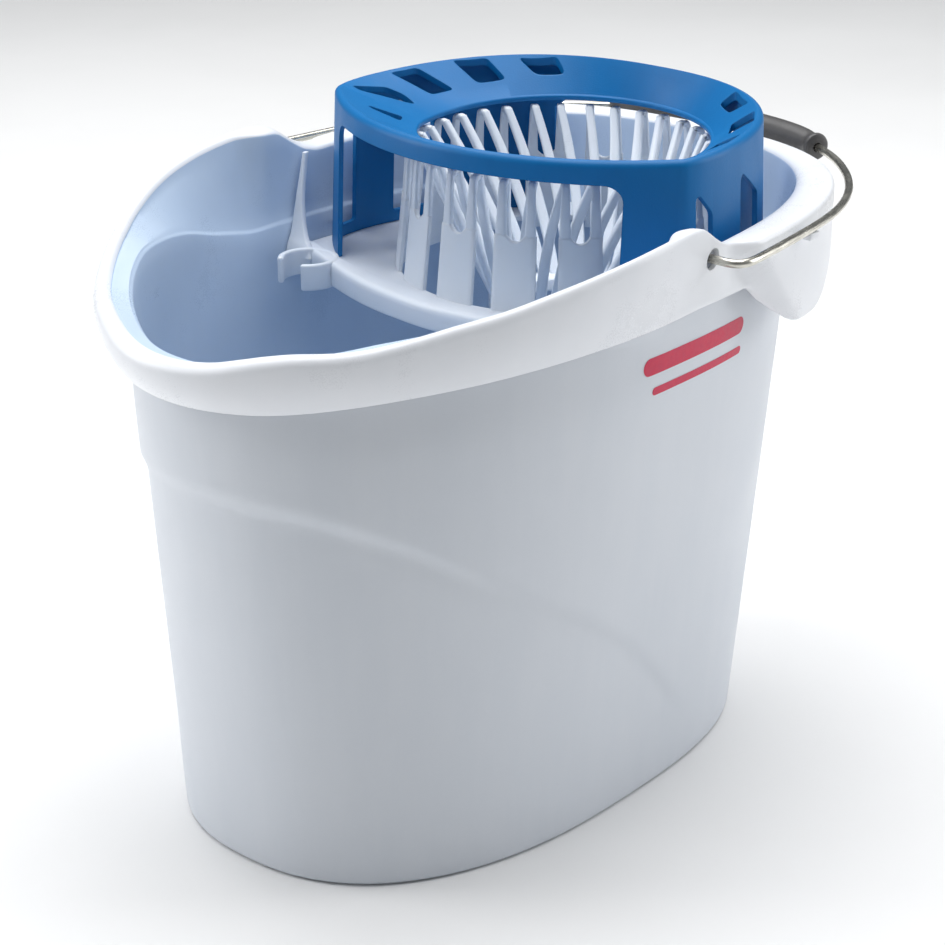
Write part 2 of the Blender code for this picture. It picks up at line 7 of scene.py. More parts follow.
import bmesh
import bpy
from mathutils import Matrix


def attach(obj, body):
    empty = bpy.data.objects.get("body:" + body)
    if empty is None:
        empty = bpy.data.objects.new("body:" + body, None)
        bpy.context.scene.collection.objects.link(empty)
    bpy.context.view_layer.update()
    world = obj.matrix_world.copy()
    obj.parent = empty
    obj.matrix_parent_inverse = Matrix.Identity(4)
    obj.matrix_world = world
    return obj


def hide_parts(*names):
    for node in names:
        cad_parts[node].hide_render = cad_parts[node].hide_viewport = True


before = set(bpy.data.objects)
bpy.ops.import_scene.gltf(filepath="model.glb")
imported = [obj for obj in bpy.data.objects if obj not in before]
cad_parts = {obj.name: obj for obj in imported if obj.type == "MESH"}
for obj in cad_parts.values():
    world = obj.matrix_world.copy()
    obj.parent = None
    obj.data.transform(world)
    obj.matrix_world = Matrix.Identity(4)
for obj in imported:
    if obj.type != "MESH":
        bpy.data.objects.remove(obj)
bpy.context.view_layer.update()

MM = 0.001

# Plan shapes: centre x, reach to the front, reach to the rear, half width, exponents.
BASE_PLAN = (-1.4, 152.7, 156.6, 101.9, 2.36, 2.84)
WALL_PLAN = (0.0, 177.7, 178.0, 122.3, 1.94, 2.62)
WALL_PLAN_Z = 252.0
REAR_SKIRT_PLAN = (0.0, 189.0, 189.0, 139.0, 2.9, 2.9)

WALL = 2.8
SKIRT = 2.6
SKIRT_OUT = 9.0
FOOT_R = 3.0
FLOOR_Z = 3.2
THIN = 1.2
BUCKET_STEPS = 400         # points round the bucket
WALL_ROWS = 84             # rows of points up the outer wall

RIM_TOP = ((-190, 258.5), (-186, 260.0), (-180, 263.5), (-175, 265.7), (-168, 267.3), (-158, 267.8),
           (-150, 268.8), (-140, 271.2), (-120, 276.5), (-100, 281.0), (-80, 286.0), (-60, 290.0),
           (-40, 293.0), (-20, 295.0), (-4, 295.8), (5, 295.0), (11, 292.0), (18, 287.6),
           (26, 283.6), (36, 281.6), (48, 282.0), (195, 284.0))
CROWN_OUT = ((-195, 10.0), (-120, 11.3), (-100, 13.0), (-70, 14.0), (-45, 12.8), (-20, 10.3),
             (5, 8.0), (22, 6.8), (40, 4.5), (195, 4.5))
FACE_OUT = ((-195, 6.5), (-172, 5.5), (-140, 4.0), (-100, 3.6), (-40, 2.4), (-5, 1.8), (195, 2.2))
SKIRT_LOW = ((-195, 236.5), (-184, 237.5), (-155, 242.5), (-131, 246.0), (-102, 249.0), (-68, 252.0),
             (-31, 254.5), (17, 257.0), (46, 257.0), (58, 248.0), (68, 239.5), (78, 232.5),
             (98, 231.5), (112, 235.0), (128, 244.0), (143, 252.0), (156, 257.0), (195, 258.0))
LEDGE_Z = ((-195, 253.0), (-179, 253.0), (-163, 259.5), (-150, 263.0), (-135, 266.5), (-118, 268.5),
           (-98, 267.0), (-77, 263.5), (-43, 254.0), (-12, 248.5), (195, 248.5))
STEP_TOP = (24.0, 284.0)
STEP_SLOPE = 0.88
STEP_WIDTH = 9.0           # the slanted step passes from one plan to the other over this
RIM_PLAN = (268.0, 10.0)   # height and outward reach at which the rim's tables are read
ROLL_DROP = 5.0            # height of the rim's roll on its outer side
INNER_DROP = 3.4           # and on its inner side
EDGE_R = 0.9               # radius of the skirt's lower edge
FILLET = (8.0, 13.0)       # fillet between the inner wall and the floor: inset and top
# The faint crease that sweeps down the outer wall: its height against x, and its strength.
CREASE_Z = ((-175, 192.0), (-162, 189.0), (-129, 174.0), (-88, 146.0), (-55, 125.0),
            (-6, 90.0), (84, 11.0))
CREASE_SHARE = ((-110, 1.0), (-60, 0.75), (0, 0.6), (60, 0.4), (95, 0.0))
CREASE_OUT = 1.7
CREASE_IN = 0.9
CREASE_WIDTH = 10.0

HINGE = (15.0, 279.0)
EAR_HOLE_R = 5.0
WIRE_R = 2.0
REST_X = (80.0, 88.0)
REST_OUT = 141.5
REST_H = 3.5
FIT = 0.35
BAIL_PATH = ((15.0, 127.4, 279.0), (15.0, 131.6, 279.0),
             (15.0, 136.5, 279.0), (15.0, 141.0, 279.0), (16.0, 144.9, 279.0), (19.2, 147.3, 279.0),
             (25.0, 147.9, 279.0), (41.0, 146.3, 279.0), (65.0, 143.2, 279.0), (89.0, 139.5, 279.0),
             (107.0, 135.6, 279.0), (120.0, 131.6, 279.0), (132.0, 126.7, 279.0),
             (143.0, 121.2, 279.0), (153.0, 115.2, 279.0), (164.5, 107.0, 279.0),
             (175.0, 98.0, 279.0), (184.5, 88.6, 279.0), (192.5, 79.0, 279.0), (198.6, 70.0, 279.0),
             (201.2, 65.2, 279.05), (204.2, 57.0, 279.3), (206.6, 47.0, 279.8), (208.6, 33.0, 280.4),
             (209.7, 17.0, 280.8), (210.0, 0.0, 281.0))
GRIP_HALF = 66.0
GRIP_BORE = 2.35
# Radius of the grip against the distance from its end: a rolled lip, a neck, then full size.
GRIP_PROFILE = ((0.0, 5.4), (0.4, 6.3), (1.1, 6.9), (2.2, 7.1), (3.3, 6.9), (4.4, 6.35), (6.5, 6.3),
                (11.0, 6.8), (18.0, 7.2), (30.0, 7.35), (70.0, 7.35))

HOLE_X = 76.4
HOLE_R = (68.5, 72.5)
COLLAR_TOP = 316.0
COLLAR_TILT = 0.03
HOLE_TOP = 300.0
HOLE_LIFT = 0.06
COLLAR_LOW = 235.6
COLLAR_DRAFT = 3.0
COLLAR_WALL = 2.6
FUNNEL_T = 2.8
FRONT_X = -17.5
FRONT_R = 146.7
CORNER = (31.0, 109.0)
REAR_REACH = 125.5
COLLAR_HALF = 111.0
COLLAR_POWER = 2.35
BAND_LOW = 303.8
OPEN_HALF = 87.0
REAR_OPEN_HALF = 58.0
REAR_OPEN_TOP = 297.0
SILL = 6.0
CUTOUTS = (
    ((38, 0.47), (49, 0.45), (54, 0.79), (41, 0.79)),
    ((60, 0.40), (71, 0.38), (75, 0.86), (64, 0.83)),
    ((81, 0.34), (91, 0.34), (96, 0.87), (87, 0.85)),
    ((101.5, 0.26), (100.5, 0.46), (102.5, 0.66), (111, 0.86), (111.5, 0.76), (104.5, 0.36)),
    ((118, 0.20), (122.5, 0.62), (124.5, 0.60), (125.5, 0.22)),
)

PLATE_Z = (232.0, 235.2)
PLATE_GAP = 0.5
PLATE_HOLE_R = 80.0
LIP_FRONT = ((0, -24.0), (30, -21.0), (45, -18.0), (60, -13.5), (77, -7.0), (95, 0.5), (112, 6.0))
LIP_HALF = 112.0
LIP_WIDTH = ((0, 13.5), (52, 12.5), (77, 9.4), (112, 8.6))
LIP_TYPICAL = 13.0         # width at which the lip's section is rounded
LIP_SECTION = ((0.0, 226.0), (0.25, 226.0), (0.3, 231.0), (1.0, 231.0), (1.0, 236.6),
               (0.9, 238.0), (0.24, 238.0), (0.07, 237.1), (0.01, 235.0))
CLIP_CENTRE = (-6.6, 93.6)
CLIP_R = (12.2, 15.2)
CLIP_Z = (225.0, 238.4)
CLIP_ARC = (-146.0, 136.0)
# Rounded ends of the clip: angle short of the full arc in radians, and share of its width.
CLIP_ENDS = ((-0.085, 0.5), (-0.05, 0.86), (0.0, 1.0))
RIB = ((233.0, 1.0, 17.0), (238.0, 3.0, 15.0), (241.5, 5.0, 11.2), (246.0, 7.0, 8.4), (252.0, 9.0, 6.2),
       (260.0, 11.5, 4.3), (270.0, 15.0, 3.0), (281.0, 18.5, 2.2))
RIB_T = 3.0
STAVES = 16
STAVE_FIRST = 202.5
STAVE_HALF = 7.5
STAVE_T = 2.6
STAVE_Z = (228.5, 268.0)
STAVE_R = 82.2
STAVE_LEAN = 0.105
STAVE_EDGE = 0.4           # softening of a stave's top edges
PRONG_OFF = 5.3
PRONG_GAP = 3.1            # half the angle of the slot between the two prongs of a stave
FINGER_TURN = -20.0
CUP_R = (24.0, 36.0)
CUP_Z = (211.5, 218.5)
FINGER = ((77.5, 263.0, 0.0, 3.0, 1.3), (75.3, 291.5, 0.0, 1.9, 1.35), (73.4, 294.6, 0.0, 1.9, 1.5),
          (70.6, 294.6, 0.01, 1.9, 1.5), (68.2, 290.5, 0.05, 2.1, 1.7), (48.0, 249.0, 0.52, 2.7, 2.0),
          (32.5, 217.0, 0.92, 2.3, 2.0))

# Plain printed bars on the near wall: the middle's x and z, half length and half height.
BARS = ((24.0, 233.0, 40.0, 4.2), (27.0, 220.5, 36.0, 1.9))
BARS_PROUD = 0.12

# Softboxes in metres and watts: name, place, point aimed at, size and power.
LIGHTS = (
    ("top", (0.25, 0.25, 2.2), (0.0, 0.0, 0.2), (2.4, 2.4), 68.0),
    ("left", (-1.05, 1.45, 0.85), (0.0, 0.0, 0.17), (0.8, 1.4), 15.0),
    ("right", (1.4, -1.15, 0.8), (0.0, 0.0, 0.17), (0.8, 1.3), 12.0),
)
FLOOR_HALF = 30.0
FLOOR_GAP = 0.0002         # the floor lies this far under the bucket


# ---------------------------------------------------------------- shapes

def table(rows, x):
    """Value at x on a smooth curve through the rows that never overshoots them."""
    if x <= rows[0][0]:
        return rows[0][1]
    if x >= rows[-1][0]:
        return rows[-1][1]
    k = 0
    while rows[k + 1][0] < x:
        k += 1

    def slope(i):
        if i <= 0 or i >= len(rows) - 1:
            return 0.0
        before = (rows[i][1] - rows[i - 1][1]) / (rows[i][0] - rows[i - 1][0])
        after = (rows[i + 1][1] - rows[i][1]) / (rows[i + 1][0] - rows[i][0])
        return 0.0 if before * after <= 0 else 2.0 * before * after / (before + after)

    (x0, v0), (x1, v1) = rows[k], rows[k + 1]
    width = x1 - x0
    f = (x - x0) / width
    return (v0 * (1 + 2 * f) * (1 - f) ** 2 + slope(k) * width * f * (1 - f) ** 2
            + v1 * f * f * (3 - 2 * f) + slope(k + 1) * width * f * f * (f - 1))


def straight(rows, x):
    """Value at x on straight lines between the rows."""
    if x <= rows[0][0]:
        return rows[0][1]
    for (x0, v0), (x1, v1) in zip(rows, rows[1:]):
        if x <= x1:
            return v0 + (v1 - v0) * (x - x0) / (x1 - x0)
    return rows[-1][1]


def smooth(x):
    x = min(1.0, max(0.0, x))
    return x * x * (3.0 - 2.0 * x)


def spread(count):
    return [i / count for i in range(count + 1)]


def lerp(a, b, f):
    return tuple(p + (q - p) * f for p, q in zip(a, b))


def knot_curve(p0, p1, p2, p3, f):
    """Point a share f of the way from p1 to p2 on a Catmull-Rom curve."""
    return tuple(0.5 * (2 * b + (c - a) * f + (2 * a - 5 * b + 4 * c - d) * f * f
                        + (3 * b - a - 3 * c + d) * f ** 3) for a, b, c, d in zip(p0, p1, p2, p3))


def dense_loop(pts, steps):
    """Closed smooth curve through points, with steps to each gap."""
    size = len(pts)
    return [knot_curve(pts[i - 1], pts[i], pts[(i + 1) % size], pts[(i + 2) % size], k / steps)
            for i in range(size) for k in range(steps)]


def dense_line(pts, steps):
    """Open smooth curve through points, with steps to each gap."""
    out = []
    for i in range(len(pts) - 1):
        p0, p3 = pts[max(i - 1, 0)], pts[min(i + 2, len(pts) - 1)]
        out += [knot_curve(p0, pts[i], pts[i + 1], p3, k / steps) for k in range(steps)]
    return out + [tuple(pts[-1])]


def rounded(outline, radius, steps=5):
    """An outline of (u, v) points with its corners rounded."""
    out = []
    for a, b, c in zip(outline[-1:] + outline[:-1], outline, outline[1:] + outline[:1]):
        back, on = math.dist(a, b), math.dist(b, c)
        p = lerp(b, a, min(radius, 0.45 * back) / back)
        q = lerp(b, c, min(radius, 0.45 * on) / on)
        out += [lerp(lerp(p, b, f), lerp(b, q, f), f) for f in spread(steps)]
    return out


def circle(centre, radius, count):
    turns = [2 * math.pi * i / count for i in range(count)]
    return [(centre[0] + radius * math.cos(a), centre[1] + radius * math.sin(a)) for a in turns]


def add_body(bm, rings, closed=False, slots=None):
    """Skin through rings of points; the last ring meets the first if closed."""
    loops = [[bm.verts.new([c * MM for c in p]) for p in ring] for ring in rings]
    pairs = list(zip(loops, loops[1:]))
    if closed:
        pairs.append((loops[-1], loops[0]))
    for row, (a, b) in enumerate(pairs):
        for i in range(len(a)):
            k = (i + 1) % len(a)
            face = bm.faces.new((a[i], a[k], b[k], b[i]))
            if slots:
                face.material_index = slots[row]
    if not closed:
        bm.faces.new(loops[0][::-1])
        bm.faces.new(loops[-1])


def make_object(name, bm, mats, sharp=38.0):
    bmesh.ops.recalc_face_normals(bm, faces=bm.faces)
    mesh = bpy.data.meshes.new(name)
    bm.to_mesh(mesh)
    bm.free()
    mesh.shade_smooth()
    mesh.set_sharp_from_angle(angle=math.radians(sharp))
    obj = bpy.data.objects.new(name, mesh)
    bpy.context.scene.collection.objects.link(obj)
    for mat in mats:
        mesh.materials.append(mat)
    return obj


def cut(obj, bodies, sharp=38.0):
    """Cut closed bodies out of an object and keep the result as its mesh."""
    bm = bmesh.new()
    for rings in bodies:
        add_body(bm, rings)
    cutter = make_object(obj.name + "_cutter", bm, obj.data.materials)
    mod = obj.modifiers.new("cut", "BOOLEAN")
    mod.operation = "DIFFERENCE"
    mod.solver = "EXACT"
    mod.object = cutter
    graph = bpy.context.evaluated_depsgraph_get()
    mesh = bpy.data.meshes.new_from_object(obj.evaluated_get(graph))
    obj.modifiers.clear()
    obj.data = mesh
    bpy.data.objects.remove(cutter, do_unlink=True)
    mesh.shade_smooth()
    mesh.set_sharp_from_angle(angle=math.radians(sharp))


def prism(outline, z0, z1):
    return [[(x, y, z0) for x, y in outline], [(x, y, z1) for x, y in outline]]


def side_prism(profile, y0, y1):
    return [[(x, y0, z) for x, z in profile], [(x, y1, z) for x, z in profile]]


def soft_prism(profile, y0, y1, soft):
    """Prism along y from (x, z) points, with its far end's edge rounded."""
    cx = sum(x for x, _ in profile) / len(profile)
    cz = sum(z for _, z in profile) / len(profile)
    half = max(abs(z - cz) for _, z in profile)
    rings = [[(x, y0, z) for x, z in profile]]
    for a in (0.0, 0.4, 0.8, 1.2, math.pi / 2):
        share = 1.0 - soft * (1 - math.cos(a)) / half
        y = y1 - math.copysign(soft * (1 - math.sin(a)), y1 - y0)
        rings.append([(cx + (x - cx) * share, y, cz + (z - cz) * share) for x, z in profile])
    return rings


# ---------------------------------------------------------------- bucket

def plan_point(plan, t, grow=0.0):
    cx, front, rear, half, n_front, n_rear = plan
    c, s = math.cos(t), math.sin(t)
    reach, power = (rear, n_rear) if c > 0 else (front, n_front)
    x = cx + math.copysign((reach + grow) * abs(c) ** (2.0 / power), c)
    y = math.copysign((half + grow) * abs(s) ** (2.0 / power), s)
    return x, y


def wall_plan(z):
    share = z / WALL_PLAN_Z
    return tuple(a + (b - a) * share for a, b in zip(BASE_PLAN, WALL_PLAN))


def wall_point(t, z, grow=0.0):
    x, y = plan_point(wall_plan(z), t, grow)
    return x, y, z


def even_angles(count):
    """Angles that space the points of the wall's plan evenly."""
    fine = 8000
    pts = [plan_point(WALL_PLAN, 2 * math.pi * i / fine) for i in range(fine + 1)]
    run = [0.0]
    for p, q in zip(pts, pts[1:]):
        run.append(run[-1] + math.dist(p, q))
    angles, j = [], 0
    for k in range(count):
        goal = run[-1] * k / count
        while run[j + 1] < goal:
            j += 1
        part = (goal - run[j]) / (run[j + 1] - run[j])
        angles.append(2 * math.pi * (j + part) / fine)
    return angles


def skirt_point(t, x_ref, z, low, top, inset):
    """Point of the rim's skirt: flared at the front, upright behind the slanted step."""
    reach = table(CROWN_OUT, x_ref) + table(FACE_OUT, x_ref)
    rise = min(1.0, (z - low) / (top - ROLL_DROP - low))
    lean = SKIRT_OUT + (reach - SKIRT_OUT) * rise * (2.0 - rise)
    fx, fy, _ = wall_point(t, z, lean - inset)
    rx, ry = plan_point(REAR_SKIRT_PLAN, t, -inset)
    share = smooth((x_ref - STEP_TOP[0] - (STEP_TOP[1] - z) * STEP_SLOPE) / STEP_WIDTH)
    return fx + (rx - fx) * share, fy + (ry - fy) * share, z


def crease(x, z):
    """How far the outer wall stands off its plan: proud above the crease, set in below it."""
    line = table(CREASE_Z, x)
    step = smooth((z - line) / CREASE_WIDTH + 0.5)
    fade = smooth((z - 6.0) / 60.0) * (1.0 - smooth((z - 215.0) / 30.0))
    return straight(CREASE_SHARE, x) * fade * (step * CREASE_OUT - (1.0 - step) * CREASE_IN)


def bucket_column(t):
    """Points of the fine section at angle t, with the last rows of the outer wall and the crown."""
    x = wall_point(t, *RIM_PLAN)[0]
    top, low, crown = (table(rows, x) for rows in (RIM_TOP, SKIRT_LOW, CROWN_OUT))
    ledge = table(LEDGE_Z, wall_point(t, RIM_PLAN[0])[0])
    rear = smooth((x + 20.0) / 18.0)
    under = ledge - 2.0 + (top - 7.0 - ledge) * smooth((x + 5.0) / 12.0)
    flare = (crown - 3.6) * (1 - rear) + rear * (0.4 - THIN)
    high = top - ROLL_DROP
    foot = wall_point(t, 0.0, -FOOT_R)
    col = [(foot[0] * f, foot[1] * f, 0.0) for f in (0.15, 0.5, 0.9)]
    for a in spread(5):
        turn = a * math.pi / 2
        col.append(wall_point(t, FOOT_R * (1 - math.cos(turn)), -FOOT_R * (1 - math.sin(turn))))
    for f in spread(WALL_ROWS)[1:]:
        z = FOOT_R + (under - FOOT_R) * f
        col.append(wall_point(t, z, crease(wall_point(t, z)[0], z)))
    outer_rows = len(col)
    edge = low + EDGE_R
    col += [skirt_point(t, x, high + (edge - high) * f, low, top, SKIRT) for f in spread(10)]
    col += [skirt_point(t, x, low + dz, low, top, inset)
            for dz, inset in ((0.25, SKIRT - 0.3), (0.0, SKIRT - EDGE_R), (0.0, EDGE_R), (0.25, 0.3))]
    col += [skirt_point(t, x, edge + (high - edge) * f, low, top, 0.0) for f in spread(12)]
    side, peak = col[-1], wall_point(t, top, crown)
    power = 2.0 / (2.0 + 2.0 * rear)
    for f in spread(9)[1:]:
        a = (1.0 - f) * math.pi / 2
        share, drop = math.sin(a) ** power, ROLL_DROP * (1 - max(0.0, math.cos(a)) ** power)
        x, y = (p + (q - p) * share for p, q in zip(peak[:2], side[:2]))
        col.append((x, y, top - drop))
    for f in spread(7)[1:]:
        a = f * math.pi / 2
        drop, inset = INNER_DROP * (1 - math.cos(a)), (crown - flare) * math.sin(a)
        col.append(wall_point(t, top - drop, crown - inset))
    crown_rows = len(col)
    z0, z1 = top - INNER_DROP, ledge + 1.2
    col += [wall_point(t, z0 + (z1 - z0) * f, flare + (-THIN - flare) * f) for f in spread(6)[1:]]
    col += [wall_point(t, z1 - 2.4 * f, -THIN + (THIN - WALL) * smooth(f)) for f in spread(4)[1:]]
    z0 = ledge - 1.2
    inset, high = FILLET
    col += [wall_point(t, z0 + (high - z0) * f, -WALL) for f in spread(36)[1:]]
    for f in spread(6)[1:]:
        a = f * math.pi / 2
        z = high - (high - FLOOR_Z) * math.sin(a)
        col.append(wall_point(t, z, -WALL - inset * (1 - math.cos(a))))
    last = col[-1]
    col += [(last[0] * f, last[1] * f, FLOOR_Z) for f in (0.75, 0.5, 0.3, 0.15)]
    return col, outer_rows, crown_rows


def make_bucket(rim_mat, shaded_wall_mat, shaded_inner_mat):
    made = [bucket_column(t) for t in even_angles(BUCKET_STEPS)]
    columns = [column for column, _, _ in made]
    outer_rows, crown_rows = made[0][1:]
    rows = len(columns[0])
    rings = [[column[k] for column in columns] for k in range(rows)]
    bm = bmesh.new()
    # Slot 1, the outer wall, takes a copy of the white plastic that is darker and slightly bluer than
    # the rim: painted shade on the upright wall, over a real satin finish.
    # Slot 2, the inside from the flare down, takes a darker, bluer copy of the white plastic: painted
    # shade with a painted blue cast of bounced light.
    slots = [1] * outer_rows + [0] * (crown_rows - 2 - outer_rows) + [2] * (rows - crown_rows + 2)
    add_body(bm, rings, slots=slots)
    bucket = make_object("bucket_shell", bm, (rim_mat, shaded_wall_mat, shaded_inner_mat))
    holes = []
    for side in (-1, 1):
        ends = sorted((side * 129.0, side * 150.0))
        holes.append(side_prism(circle(HINGE, EAR_HOLE_R, 48), *ends))
    cut(bucket, holes)
    return bucket


def make_rests(mat):
    """The small ledges on the rear skirt that the bail lies on."""
    bm = bmesh.new()
    z1 = HINGE[1] - WIRE_R - FIT
    x0, x1 = REST_X
    profile = rounded([(x0, z1 - REST_H), (x1, z1 - REST_H), (x1, z1), (x0, z1)], 1.0)
    for side in (-1, 1):
        add_body(bm, soft_prism(profile, side * 134.0, side * REST_OUT, 0.8))
    return make_object("bail_rests", bm, (mat,))


def near_angle(x, z):
    """Angle t at which the near wall, at negative y, has this x."""
    low, high = -math.pi, 0.0
    for _ in range(40):
        middle = (low + high) / 2
        if wall_point(middle, z)[0] > x:
            high = middle
        else:
            low = middle
    return (low + high) / 2


def make_bars(mat):
    """Plain printed bars with round ends on the near wall, a hair proud of it."""
    bm = bmesh.new()
    for cx, cz, half, high in BARS:
        columns = []
        for f in spread(60):
            u = -math.cos(f * math.pi)
            x = cx + u * half
            end = max(0.0, abs(u) * half - (half - high))
            reach = high * math.sqrt(max(0.0, 1.0 - (end / high) ** 2))
            t = near_angle(x, cz)
            column = []
            for v in (-1.0, -0.5, 0.0, 0.5, 1.0):
                z = cz + v * max(reach, 0.02)
                column.append(wall_point(t, z, crease(x, z) + BARS_PROUD))
            columns.append(column)
        verts = [[bm.verts.new([c * MM for c in p]) for p in column] for column in columns]
        for a, b in zip(verts, verts[1:]):
            for i in range(len(a) - 1):
                bm.faces.new((a[i], b[i], b[i + 1], a[i + 1]))
    return make_object("printed_bars", bm, (mat,))


# ---------------------------------------------------------------- bail and grip

def bail_path(steps):
    left = [(x, -y, z) for x, y, z in BAIL_PATH]
    path = dense_line(left + [(x, y, z) for x, y, z in reversed(BAIL_PATH[:-1])], steps)
    limit = max(y for _, y, _ in BAIL_PATH)
    return [(x, max(-limit, min(limit, y)), z) for x, y, z in path]


def unit(v):
    size = math.sqrt(sum(c * c for c in v))
    return tuple(c / size for c in v)


def cross(a, b):
    return (a[1] * b[2] - a[2] * b[1], a[2] * b[0] - a[0] * b[2], a[0] * b[1] - a[1] * b[0])


def tube_frames(path):
    """Directions square to the path at each point, carried along with no twist."""
    frames, u = [], None
    for i in range(len(path)):
        a, b = path[max(i - 1, 0)], path[min(i + 1, len(path) - 1)]
        d = unit([q - p for p, q in zip(a, b)])
        if u is None:
            u = unit(cross(d, (1.0, 0.0, 0.0)))
        along = sum(p * q for p, q in zip(u, d))
        u = unit([p - along * q for p, q in zip(u, d)])
        frames.append((d, u, cross(d, u)))
    return frames


def tube_rings(path, radii, sides):
    rings = []
    for p, (_, u, v), r in zip(path, tube_frames(path), radii):
        turns = [2 * math.pi * k / sides for k in range(sides)]
        rings.append([tuple(p[c] + r * (math.cos(w) * u[c] + math.sin(w) * v[c]) for c in range(3))
                      for w in turns])
    return rings


def run_lengths(path):
    run = [0.0]
    for p, q in zip(path, path[1:]):
        run.append(run[-1] + math.dist(p, q))
    return run


def make_rod(mat):
    path = bail_path(7)
    run = run_lengths(path)
    radii = []
    for s in run:
        end = min(s, run[-1] - s)
        radii.append(WIRE_R * math.sqrt(max(0.02, 1 - max(0.0, 1 - end / 1.2) ** 2)))
    bm = bmesh.new()
    add_body(bm, tube_rings(path, radii, 24))
    return make_object("bail_rod", bm, (mat,))


def make_grip(mat):
    path = [p for p in bail_path(8) if abs(p[1]) <= GRIP_HALF and p[0] > 150]
    run = run_lengths(path)
    radii = [table(GRIP_PROFILE, min(s, run[-1] - s)) for s in run]
    bore = tube_rings(path, [GRIP_BORE] * len(path), 56)
    bm = bmesh.new()
    add_body(bm, tube_rings(path, radii, 56) + bore[::-1], closed=True)
    return make_object("grip_sleeve", bm, (mat,))


# ---------------------------------------------------------------- wringer collar

def front_arc(y):
    return FRONT_X + FRONT_R - math.sqrt(FRONT_R ** 2 - y * y)


def collar_plan():
    pts = []
    for i in range(38):
        t = -math.pi / 2 + math.pi * (i + 0.5) / 38
        pts.append((CORNER[0] + REAR_REACH * math.cos(t) ** (2 / COLLAR_POWER),
                    math.copysign(COLLAR_HALF * abs(math.sin(t)) ** (2 / COLLAR_POWER), t)))
    for i in range(27):
        y = 107.5 * math.cos(math.pi * i / 26)
        pts.append((front_arc(y), y))
    pts = [((a[0] + 2 * b[0] + c[0]) / 4, (a[1] + 2 * b[1] + c[1]) / 4)
           for a, b, c in zip(pts[-1:] + pts[:-1], pts, pts[1:] + pts[:1])]
    return dense_loop(pts, 6)


def push_out(pts, distance):
    """An anticlockwise outline moved outwards."""
    out = []
    for a, b, c in zip(pts[-1:] + pts[:-1], pts, pts[1:] + pts[:1]):
        dx, dy = c[0] - a[0], c[1] - a[1]
        size = math.hypot(dx, dy)
        out.append((b[0] + dy / size * distance, b[1] - dx / size * distance))
    return out


def hole_point(px, py, grow=0.0):
    """Point of the collar's round hole in the direction of (px, py) from its centre."""
    a = math.atan2(py, px - HOLE_X)
    r = 1.0 / math.hypot(math.cos(a) / HOLE_R[0], math.sin(a) / HOLE_R[1]) + grow
    return HOLE_X + r * math.cos(a), r * math.sin(a)


def collar_top_z(x):
    return COLLAR_TOP + COLLAR_TILT * (x - 50.0)


def hole_z(x):
    return HOLE_TOP + HOLE_LIFT * max(0.0, 60.0 - x) + COLLAR_TILT * max(0.0, x - HOLE_X)


def collar_rings(plan):
    hole = [hole_point(x, y) for x, y in plan]

    def outer(distance, drop):
        return [(x, y, collar_top_z(x) - drop) for x, y in push_out(plan, distance)]

    def inner(grow, drop):
        return [(*hole_point(x, y, grow), hole_z(hx) - drop) for (x, y), (hx, _) in zip(plan, hole)]

    under_hole, under_edge = [], []
    for (x, y), (hx, hy), (ex, ey) in zip(plan, hole, push_out(plan, -COLLAR_WALL)):
        width = math.hypot(x - hx, y - hy)
        slope = (collar_top_z(x) - hole_z(hx)) / (width - 4.2)
        drop = FUNNEL_T * math.hypot(1.0, slope)
        reach = max(2.2, 1.2 + (drop - 3.0) / slope)
        under_hole.append((*hole_point(x, y, reach), hole_z(hx) + slope * (reach - 1.2) - drop))
        under_edge.append((ex, ey, hole_z(hx) + slope * (width - COLLAR_WALL - 1.2) - drop))

    foot_out = [(x, y, COLLAR_LOW) for x, y in push_out(plan, COLLAR_DRAFT - 0.6)]
    low_out = [(x, y, COLLAR_LOW + 0.6) for x, y in push_out(plan, COLLAR_DRAFT)]
    foot_in = [(x, y, COLLAR_LOW) for x, y in push_out(plan, COLLAR_DRAFT - COLLAR_WALL)]
    rings = [foot_out, low_out]
    for a in (0.0, 0.3, 0.6, 0.9, 1.2, math.pi / 2):
        rings.append(outer(-3.2 * (1 - math.cos(a)), 3.4 * (1 - math.sin(a))))
    edge, rim = rings[-1], inner(1.3, 0.0)
    rings += [[lerp(p, q, f) for p, q in zip(edge, rim)] for f in (0.33, 0.67)]
    for a in spread(5):
        turn = a * math.pi / 2
        rings.append(inner(1.3 * (1 - math.sin(turn)), 1.3 * (1 - math.cos(turn))))
    rings += [inner(0.4, 2.8), under_hole]
    rings += [[lerp(p, q, 0.5) for p, q in zip(under_hole, under_edge)], under_edge, foot_in]
    return rings


def front_cutter():
    """The front opening, whose top corners are rounded by narrower layers."""
    arc = [(-8.0, OPEN_HALF * (1 - i / 24)) for i in range(49)]
    arc += [(5.0, OPEN_HALF * (i / 24 - 1)) for i in range(49)]
    radius = 8.0
    cuts = [(0.0, COLLAR_LOW - 6.0), (0.0, BAND_LOW - radius)]
    cuts += [(radius * (1 - math.cos(a)), BAND_LOW - radius * (1 - math.sin(a)))
             for a in (math.radians(d) for d in (10, 20, 30, 40, 50, 60, 70, 80, 90))]
    rings = []
    for inset, z in cuts:
        share = (OPEN_HALF - inset) / OPEN_HALF
        rings.append([(front_arc(y * share) + dx, y * share, z) for dx, y in arc])
    return rings


def funnel_point(plan, angle, share):
    """Point of the funnel at an angle, a share of the way from the hole to the edge."""
    ux, uy = math.cos(angle), math.sin(angle)
    edge = max(plan, key=lambda p: ((p[0] - HOLE_X) * ux + p[1] * uy)
               / math.hypot(p[0] - HOLE_X, p[1]))
    far = math.hypot(edge[0] - HOLE_X, edge[1])
    hx, hy = hole_point(HOLE_X + ux, uy)
    near = math.hypot(hx - HOLE_X, hy)
    r = near + (far - near) * share
    return HOLE_X + r * ux, r * uy


